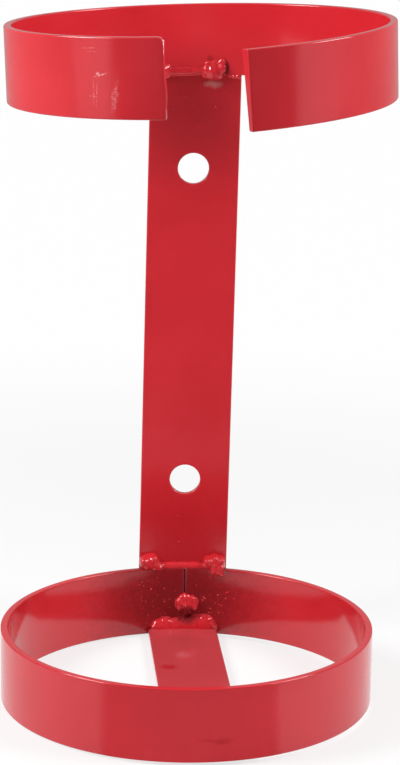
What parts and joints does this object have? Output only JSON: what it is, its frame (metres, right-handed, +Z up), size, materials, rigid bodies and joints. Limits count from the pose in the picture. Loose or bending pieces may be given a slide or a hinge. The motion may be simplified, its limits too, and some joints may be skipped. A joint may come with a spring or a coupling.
{
  "type": "fire extinguisher bracket",
  "caption": "Red welded steel wall bracket for a portable fire extinguisher: an open upper ring and a closed lower ring with a base strip, on a flat back plate with screw holes",
  "frame": {"origin": "on the wall face of the back plate, midway between the two screw holes", "axes": "+X right as seen from the front, +Y into the wall, +Z up the plate"},
  "size_m": [0.1284, 0.1295, 0.2338],
  "materials": {
    "red_paint": "gloss"
  },
  "bodies": {
    "root": {"back_plate": "red_paint", "upper_ring": "red_paint", "lower_ring": "red_paint", "base_strip": "red_paint", "upper_left_tack": "red_paint", "upper_bead": "red_paint", "upper_centre_tack": "red_paint", "upper_right_tack": "red_paint", "lower_left_tack": "red_paint", "lower_right_tack": "red_paint", "seam_tack": "red_paint", "strip_rear_weld": "red_paint", "strip_front_left_tack": "red_paint", "strip_front_right_tack": "red_paint"}
  },
  "joints": []
}
